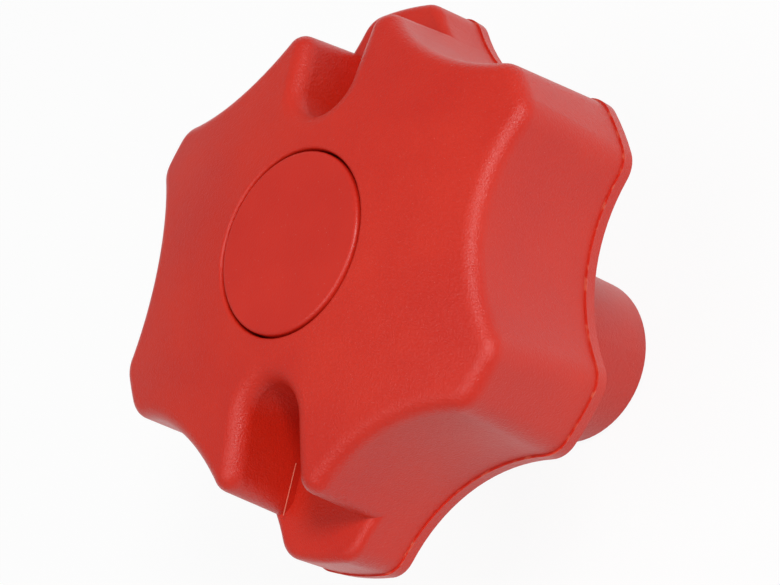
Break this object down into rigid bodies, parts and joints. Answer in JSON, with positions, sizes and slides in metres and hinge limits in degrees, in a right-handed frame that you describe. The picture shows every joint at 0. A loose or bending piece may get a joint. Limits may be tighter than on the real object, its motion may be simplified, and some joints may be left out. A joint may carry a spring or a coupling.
{
  "type": "star knob",
  "caption": "Star-shaped hand knob with finger scallops, notched lobes, a plain centre cap and a female threaded hub, for clamping by hand",
  "frame": {"origin": "centre of the bush's outer face, which is the lowest face, on the knob's axis", "axes": "+Z runs along the knob's axis from the hub to the front face; the two notched lobes lie on +Y and -Y; +X completes a right-handed frame"},
  "size_m": [0.0568, 0.0626, 0.0495],
  "materials": {
    "red_plastic": "fine spark-eroded moulding grain",
    "cap_plastic": "fine grain, slightly glossier than the body",
    "bush_brass": "turned"
  },
  "bodies": {
    "root": {"knob_body": "red_plastic", "centre_cap": "cap_plastic", "threaded_bush": "bush_brass"}
  },
  "joints": []
}
